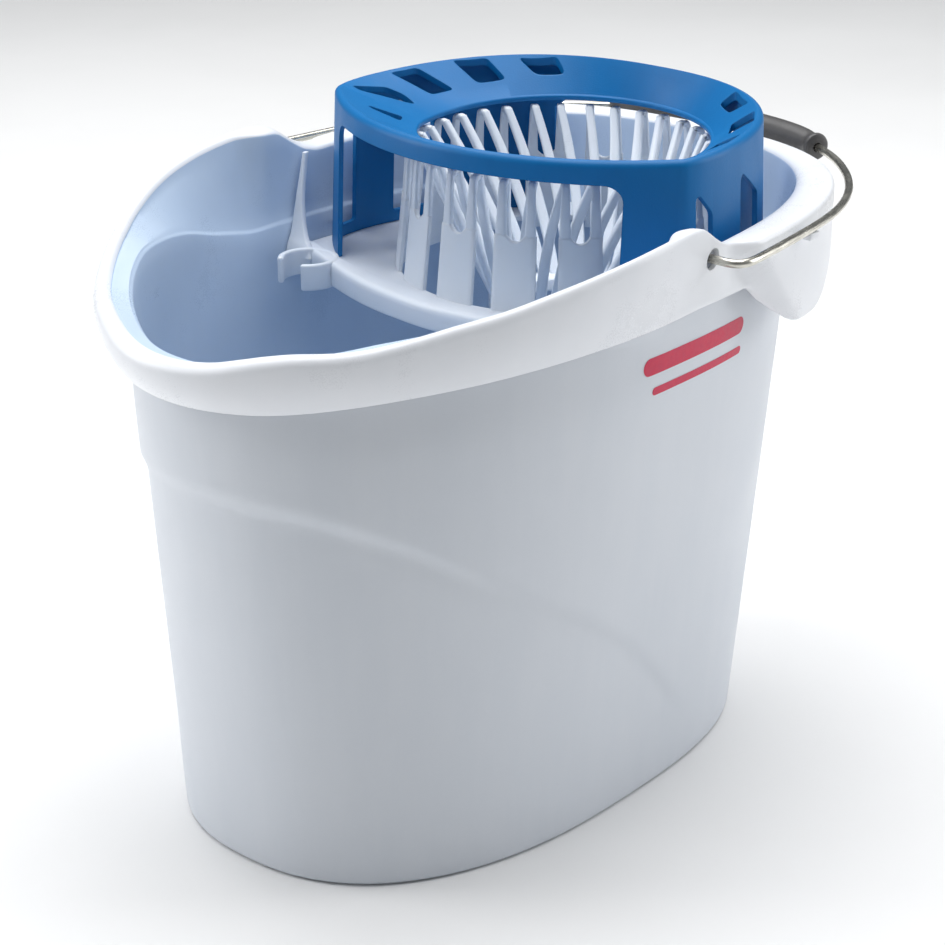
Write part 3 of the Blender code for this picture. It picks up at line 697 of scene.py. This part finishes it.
def make_collar(mat):
    plan = collar_plan()
    bm = bmesh.new()
    add_body(bm, collar_rings(plan), closed=True)
    collar = make_object("collar_moulding", bm, (mat,))
    sill = COLLAR_LOW + SILL
    windows = ([(34.5, sill), (45.5, sill), (45.5, 288.5), (36.5, 298.5), (34.5, 297.0)],
               [(71.0, sill), (94.0, sill), (94.0, 286.5), (73.5, 300.5), (71.0, 298.0)])
    bodies = [front_cutter()]
    for profile, reach in zip(windows, (100.0, 90.0)):
        for side in (-1, 1):
            bodies.append(side_prism(rounded(profile, 2.2), *sorted((side * reach, side * 125.0))))
    half = REAR_OPEN_HALF
    rear = [(half, COLLAR_LOW - 6.0), (half, REAR_OPEN_TOP - 6.0), (half - 6.0, REAR_OPEN_TOP),
            (6.0 - half, REAR_OPEN_TOP), (-half, REAR_OPEN_TOP - 6.0), (-half, COLLAR_LOW - 6.0)]
    bodies.append([[(x, y, z) for y, z in rear] for x in (128.0, 175.0)])
    cut(collar, bodies)
    holes = []
    for corners in CUTOUTS:
        for side in (-1, 1):
            outline = [funnel_point(plan, math.radians(side * a), share) for a, share in corners]
            holes.append(prism(rounded(outline, 2.4), 285.0, 330.0))
    cut(collar, holes, 32.0)
    return collar


# ---------------------------------------------------------------- wringer basket

def plate_outline():
    z = PLATE_Z[0]
    edge = [wall_point(t, z, -WALL - PLATE_GAP)[:2] for t in even_angles(300)]
    rear = [p for p in edge if p[0] > table(LIP_FRONT, abs(p[1])) + 1.01]
    rear.sort(key=lambda p: math.atan2(p[1], p[0] - 60.0))
    front = [(table(LIP_FRONT, abs(y)) + 1.0, y) for y in (108.0 - 3.6 * i for i in range(61))]
    return rear + front


def ring_rings(outline, z0, z1, radius, soft=0.5):
    """Plate with a round hole, its edges softened."""
    def hole(r, z):
        out = []
        for x, y in outline:
            a = math.atan2(y, x - HOLE_X)
            out.append((HOLE_X + r * math.cos(a), r * math.sin(a), z))
        return out

    def edge(inset, z):
        return [(x, y, z) for x, y in push_out(outline, -inset)]

    return [edge(soft, z0), edge(0.0, z0 + soft), edge(0.0, z1 - soft), edge(soft, z1),
            hole(radius + soft, z1), hole(radius, z1 - soft),
            hole(radius, z0 + soft), hole(radius + soft, z0)]


def lip_rings():
    flat = [(share * LIP_TYPICAL, z) for share, z in LIP_SECTION]
    section = [(u / LIP_TYPICAL, z) for u, z in rounded(flat, 1.3, 3)]
    rings = []
    for f in spread(96):
        y = LIP_HALF * (2 * f - 1)
        width = table(LIP_WIDTH, abs(y))
        rings.append([(table(LIP_FRONT, abs(y)) + u * width, y, z) for u, z in section])
    return rings


def clip_rings():
    r0, r1 = CLIP_R
    z0, z1 = CLIP_Z
    section = rounded([(r0, z0), (r1, z0), (r1, z1), (r0, z1)], 1.3, 4)
    mid_r, mid_z = (r0 + r1) / 2, (z0 + z1) / 2
    rings = []
    span = math.radians(CLIP_ARC[1] - CLIP_ARC[0])
    start = math.radians(CLIP_ARC[0])
    stops = [(start + da, size) for da, size in CLIP_ENDS]
    stops += [(start + span * f, 1.0) for f in spread(56)[1:-1]]
    stops += [(start + span - da, size) for da, size in CLIP_ENDS[::-1]]
    for a, size in stops:
        c, s = math.cos(a), math.sin(a)
        ring = []
        for r, z in section:
            rr = mid_r + (r - mid_r) * size
            zz = mid_z + (z - mid_z) * (0.85 + 0.15 * size)
            ring.append((CLIP_CENTRE[0] + rr * c, CLIP_CENTRE[1] + rr * s, zz))
        rings.append(ring)
    return rings


def wall_y(x, z, grow):
    cx, front, rear, half, n_front, n_rear = wall_plan(z)
    reach, power = (rear, n_rear) if x > cx else (front, n_front)
    return (half + grow) * (1 - (abs(x - cx) / (reach + grow)) ** power) ** (1 / power)


def rib_rings(side):
    rings = []
    for z, x, width in dense_line(RIB, 6):
        edge = wall_y(x + RIB_T, z, -WALL - PLATE_GAP - 0.1)
        y0, y1 = side * edge, side * (edge - width)
        outline = rounded([(x, y0), (x + RIB_T, y0), (x + RIB_T, y1), (x, y1)], 0.8, 3)
        rings.append([(px, py, z) for px, py in outline])
    return rings


def stave_top(offset):
    """Height of a stave's top: a round-bottomed slot between the two prongs."""
    share = min(1.0, abs(offset) / PRONG_GAP)
    return STAVE_Z[1] + 4.2 * (1.0 - math.sqrt(max(0.0, 1.0 - share ** 2)))


def stave_rings(centre):
    rings = []
    for f in spread(18):
        offset = STAVE_HALF * (2 * f - 1)
        a = math.radians(centre + offset)
        top = stave_top(offset) if abs(offset) < PRONG_GAP else STAVE_Z[1] + 3.0
        ring = []
        low, soft = STAVE_Z[0], STAVE_EDGE
        rows = [(low, 0.3), (low + 0.3, 0.0), (top - soft, 0.0), (top, soft),
                (top, STAVE_T - soft), (top - soft, STAVE_T), (low + 0.3, STAVE_T), (low, STAVE_T - 0.3)]
        if f in (0.0, 1.0):
            rows = [(z, min(max(inset, 0.35), STAVE_T - 0.35)) for z, inset in rows]
        for z, inset in rows:
            r = STAVE_R - STAVE_LEAN * (z - PLATE_Z[1]) - inset
            ring.append((HOLE_X + r * math.cos(a), r * math.sin(a), z))
        rings.append(ring)
    return rings


def finger_rings(angle):
    """A prong that bends over and runs down inwards as a finger, with a round tip."""
    knots = dense_line(FINGER, 6)
    rings = []
    for k, (r, z, turn, half, thick) in enumerate(knots):
        a = math.radians(angle + FINGER_TURN * turn)
        radial, across = (math.cos(a), math.sin(a)), (-math.sin(a), math.cos(a))
        before, after = knots[max(k - 1, 0)], knots[min(k + 1, len(knots) - 1)]
        size = math.hypot(after[0] - before[0], after[1] - before[1])
        lean = ((after[1] - before[1]) / size, -(after[0] - before[0]) / size)
        ring = []
        for i in range(16):
            w = 2 * math.pi * i / 16
            u = half * math.copysign(abs(math.cos(w)) ** 0.5, math.cos(w))
            v = thick * math.copysign(abs(math.sin(w)) ** 0.5, math.sin(w))
            rr = r + v * lean[0]
            ring.append((HOLE_X + rr * radial[0] + u * across[0],
                         rr * radial[1] + u * across[1], z + v * lean[1]))
        rings.append(ring)
    last = rings[-1]
    behind, centre = (tuple(sum(p[c] for p in ring) / len(ring) for c in range(3))
                      for ring in rings[-2:])
    on = unit([a - b for a, b in zip(centre, behind)])
    for a in (0.5, 0.9, 1.25):
        push, shrink = 1.6 * math.sin(a), math.cos(a)
        rings.append([tuple(centre[c] + (p[c] - centre[c]) * shrink + on[c] * push for c in range(3))
                      for p in last])
    return rings


def make_basket(mat):
    bm = bmesh.new()
    add_body(bm, ring_rings(plate_outline(), *PLATE_Z, PLATE_HOLE_R), closed=True)
    cup = circle((HOLE_X, 0.0), CUP_R[1], 96)
    add_body(bm, ring_rings(cup, *CUP_Z, CUP_R[0], 1.0), closed=True)
    add_body(bm, lip_rings())
    add_body(bm, clip_rings())
    for side in (-1, 1):
        add_body(bm, rib_rings(side))
    for i in range(STAVES):
        centre = STAVE_FIRST + 360.0 * i / STAVES
        add_body(bm, stave_rings(centre))
        for side in (-1, 1):
            add_body(bm, finger_rings(centre + side * PRONG_OFF))
    return make_object("basket_moulding", bm, (mat,))


# ---------------------------------------------------------------- materials

class Nodes:
    """Short hands for building one material's nodes."""

    def __init__(self, name):
        self.mat = bpy.data.materials.new(name)
        self.mat.use_nodes = True
        self.tree = self.mat.node_tree
        self.bsdf = self.tree.nodes["Principled BSDF"]
        self.coord = self.tree.nodes.new("ShaderNodeTexCoord").outputs["Object"]

    def link(self, out, socket):
        self.tree.links.new(out, socket)

    def noise(self, scale, detail=3.0, stretch=(1.0, 1.0, 1.0)):
        mapping = self.tree.nodes.new("ShaderNodeMapping")
        mapping.inputs["Scale"].default_value = stretch
        self.link(self.coord, mapping.inputs["Vector"])
        node = self.tree.nodes.new("ShaderNodeTexNoise")
        node.inputs["Scale"].default_value = scale
        node.inputs["Detail"].default_value = detail
        node.inputs["Roughness"].default_value = 0.55
        self.link(mapping.outputs["Vector"], node.inputs["Vector"])
        return node.outputs["Fac"]

    def ramp(self, value, low, high, start, end):
        """Map a value from low..high to start..end."""
        node = self.tree.nodes.new("ShaderNodeMapRange")
        node.inputs["From Min"].default_value = low
        node.inputs["From Max"].default_value = high
        node.inputs["To Min"].default_value = start
        node.inputs["To Max"].default_value = end
        self.link(value, node.inputs["Value"])
        return node.outputs["Result"]

    def math(self, operation, a, b):
        node = self.tree.nodes.new("ShaderNodeMath")
        node.operation = operation
        for socket, value in zip(node.inputs, (a, b)):
            if isinstance(value, (int, float)):
                socket.default_value = value
            else:
                self.link(value, socket)
        return node.outputs["Value"]

    def colours(self, value, first, second):
        node = self.tree.nodes.new("ShaderNodeMix")
        node.data_type = "RGBA"
        node.inputs["A"].default_value = (*first, 1.0)
        node.inputs["B"].default_value = (*second, 1.0)
        self.link(value, node.inputs["Factor"])
        return node.outputs["Result"]

    def blend(self, value, first, second):
        """Mix of a colour output and a plain colour by a value."""
        node = self.tree.nodes.new("ShaderNodeMix")
        node.data_type = "RGBA"
        self.link(first, node.inputs["A"])
        node.inputs["B"].default_value = (*second, 1.0)
        self.link(value, node.inputs["Factor"])
        return node.outputs["Result"]

    def pointiness(self):
        return self.tree.nodes.new("ShaderNodeNewGeometry").outputs["Pointiness"]

    def relief(self, height, depth, edge):
        """Bump of a real depth over edges rounded by a small radius."""
        bump = self.tree.nodes.new("ShaderNodeBump")
        bump.inputs["Strength"].default_value = 1.0
        bump.inputs["Distance"].default_value = depth
        self.link(height, bump.inputs["Height"])
        if edge:
            bevel = self.tree.nodes.new("ShaderNodeBevel")
            bevel.samples = 6
            bevel.inputs["Radius"].default_value = edge
            self.link(bevel.outputs["Normal"], bump.inputs["Normal"])
        self.link(bump.outputs["Normal"], self.bsdf.inputs["Normal"])


def moulded(name, light, shade, edge_highlight, roughness, grain, depth, edge=0.0007, specular=0.5):
    """Moulded plastic: slow colour drift, flow streaks, fine grain, paler convex edges as a painted
    highlight, rubbed patches.
    """
    n = Nodes(name)
    drift = n.ramp(n.noise(7.0, 3.0), 0.35, 0.65, 0.0, 1.0)
    flow = n.ramp(n.noise(60.0, 4.0, (1.0, 1.0, 0.15)), 0.4, 0.6, 0.0, 0.4)
    colour = n.colours(n.math("ADD", n.math("MULTIPLY", drift, 0.6), flow), light, shade)
    # Paler colour on convex edges, picked by pointiness: a painted highlight.
    edges = n.ramp(n.pointiness(), 0.53, 0.62, 0.0, 0.35)
    n.link(n.blend(edges, colour, edge_highlight), n.bsdf.inputs["Base Color"])
    rub = n.ramp(n.noise(28.0, 5.0), 0.3, 0.7, roughness - 0.05, roughness + 0.07)
    fine = n.noise(grain, 2.0)
    n.link(n.math("ADD", rub, n.ramp(fine, 0.3, 0.7, -0.03, 0.03)), n.bsdf.inputs["Roughness"])
    scratch = n.ramp(n.noise(420.0, 2.0, (1.0, 0.06, 0.4)), 0.68, 0.74, 0.0, 0.25)
    n.relief(n.math("SUBTRACT", fine, scratch), depth, edge)
    n.bsdf.inputs["Specular IOR Level"].default_value = specular
    return n.mat


def drawn_steel(name):
    n = Nodes(name)
    tone = n.ramp(n.noise(160.0, 4.0), 0.3, 0.7, 0.0, 1.0)
    n.link(n.colours(tone, (0.66, 0.645, 0.58), (0.50, 0.485, 0.43)), n.bsdf.inputs["Base Color"])
    n.bsdf.inputs["Metallic"].default_value = 1.0
    lines = n.noise(900.0, 3.0, (0.08, 0.08, 1.0))
    n.link(n.ramp(lines, 0.3, 0.7, 0.20, 0.36), n.bsdf.inputs["Roughness"])
    n.relief(lines, 0.00003, 0.0)
    return n.mat


def grip_plastic(name):
    n = Nodes(name)
    tone = n.ramp(n.noise(40.0, 4.0), 0.35, 0.65, 0.0, 1.0)
    colour = n.colours(tone, (0.060, 0.058, 0.058), (0.085, 0.083, 0.084))
    dust = n.ramp(n.noise(700.0, 3.0), 0.62, 0.7, 0.0, 0.12)
    n.link(n.blend(dust, colour, (0.25, 0.25, 0.26)), n.bsdf.inputs["Base Color"])
    n.link(n.ramp(n.noise(90.0, 4.0), 0.3, 0.7, 0.32, 0.46), n.bsdf.inputs["Roughness"])
    n.relief(n.noise(1500.0, 2.0), 0.00004, 0.0004)
    return n.mat


def print_ink(name):
    n = Nodes(name)
    tone = n.ramp(n.noise(300.0, 4.0), 0.35, 0.65, 0.0, 1.0)
    n.link(n.colours(tone, (0.62, 0.002, 0.055), (0.57, 0.003, 0.060)), n.bsdf.inputs["Base Color"])
    n.link(n.ramp(n.noise(500.0, 2.0), 0.3, 0.7, 0.38, 0.5), n.bsdf.inputs["Roughness"])
    n.relief(n.noise(2500.0, 2.0), 0.00003, 0.0)
    return n.mat


def floor_paint(name):
    n = Nodes(name)
    tone = n.ramp(n.noise(3.0, 4.0), 0.35, 0.65, 0.0, 1.0)
    n.link(n.colours(tone, (0.90, 0.90, 0.90), (0.87, 0.87, 0.87)), n.bsdf.inputs["Base Color"])
    n.bsdf.inputs["Roughness"].default_value = 0.7
    return n.mat


# ---------------------------------------------------------------- studio

def make_floor():
    """Wide pale floor."""
    bm = bmesh.new()
    across = (-FLOOR_HALF, -1.0, 0.0, 1.0, FLOOR_HALF)
    along = (-FLOOR_HALF, -1.0, 0.0, 1.0, 2.0, FLOOR_HALF)
    verts = [[bm.verts.new((x, y, -FLOOR_GAP)) for x in along] for y in across]
    for a, b in zip(verts, verts[1:]):
        for i in range(len(a) - 1):
            bm.faces.new((a[i], a[i + 1], b[i + 1], b[i]))
    floor = make_object("studio_floor", bm, (floor_paint("pale_floor"),))


def area_light(name, place, target, size, power):
    data = bpy.data.lights.new(name, "AREA")
    data.shape = "RECTANGLE"
    data.size, data.size_y = size
    data.energy = power
    light = bpy.data.objects.new(name, data)
    bpy.context.scene.collection.objects.link(light)
    light.location = place
    aim = [b - a for a, b in zip(place, target)]
    pitch = math.atan2(math.hypot(aim[0], aim[1]), -aim[2])
    light.rotation_euler = (pitch, 0.0, math.atan2(-aim[0], aim[1]))


def make_world():
    world = bpy.data.worlds.new("studio")
    bpy.context.scene.world = world
    world.use_nodes = True
    background = world.node_tree.nodes["Background"]
    background.inputs["Color"].default_value = (0.90, 0.95, 1.0, 1.0)
    background.inputs["Strength"].default_value = 0.16


def make_camera():
    data = bpy.data.cameras.new("camera")
    data.lens = 91.32
    data.sensor_width = 36.0
    camera = bpy.data.objects.new("camera", data)
    bpy.context.scene.collection.objects.link(camera)
    camera.location = (-0.8115, -0.7069, 0.5996)
    camera.rotation_euler = (math.radians(67.146), 0.0, math.radians(-49.256))
    bpy.context.scene.camera = camera


# ---------------------------------------------------------------- main

def show(obj, body, node=None):
    """Tie a piece to its CAD body, and hide the CAD node that it stands for."""
    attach(obj, body)
    if node:
        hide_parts(node)


# The third colour of each plastic is its painted highlight on convex edges.
white = moulded("white_gloss_plastic", (0.85, 0.87, 0.91), (0.825, 0.85, 0.895), (0.88, 0.90, 0.94),
                0.30, 1600.0, 0.00002)
# Copy of the white plastic for the outer wall: its rougher satin finish is real, its darker, slightly
# bluer base colour is painted shade.
wall = moulded("white_satin_plastic_painted_shade", (0.70, 0.735, 0.79), (0.67, 0.71, 0.77), (0.76, 0.79, 0.84),
               0.46, 2200.0, 0.00005)
# Darker, bluer copy of the white plastic for the bucket's inside: painted shade with a painted blue cast
# of bounced light.
inner = moulded("painted_shade_inner_plastic", (0.58, 0.70, 0.86), (0.55, 0.675, 0.845), (0.70, 0.79, 0.90),
                0.30, 1800.0, 0.00002)
lavender = moulded("basket_plastic", (0.84, 0.89, 0.96), (0.81, 0.87, 0.95), (0.90, 0.93, 0.97),
                   0.32, 1600.0, 0.00003)
blue = moulded("blue_satin_plastic", (0.0, 0.155, 0.43), (0.0, 0.138, 0.39), (0.01, 0.23, 0.58),
               0.42, 1300.0, 0.00006, specular=0.3)

show(make_bucket(white, wall, inner), "tub", "bucket")
show(make_rests(white), "tub", None)
show(make_bars(print_ink("red_ink")), "tub")
show(make_basket(lavender), "wringer", "wringer_basket")
show(make_collar(blue), "collar", "wringer_collar")
show(make_rod(drawn_steel("drawn_steel")), "bail", "bail_wire")
show(make_grip(grip_plastic("grip_plastic")), "bail", "handle_grip")

make_floor()
make_world()
make_camera()
bpy.context.scene.view_settings.view_transform = "Standard"
for lamp in LIGHTS:
    area_light(*lamp)

bpy.context.view_layer.update()
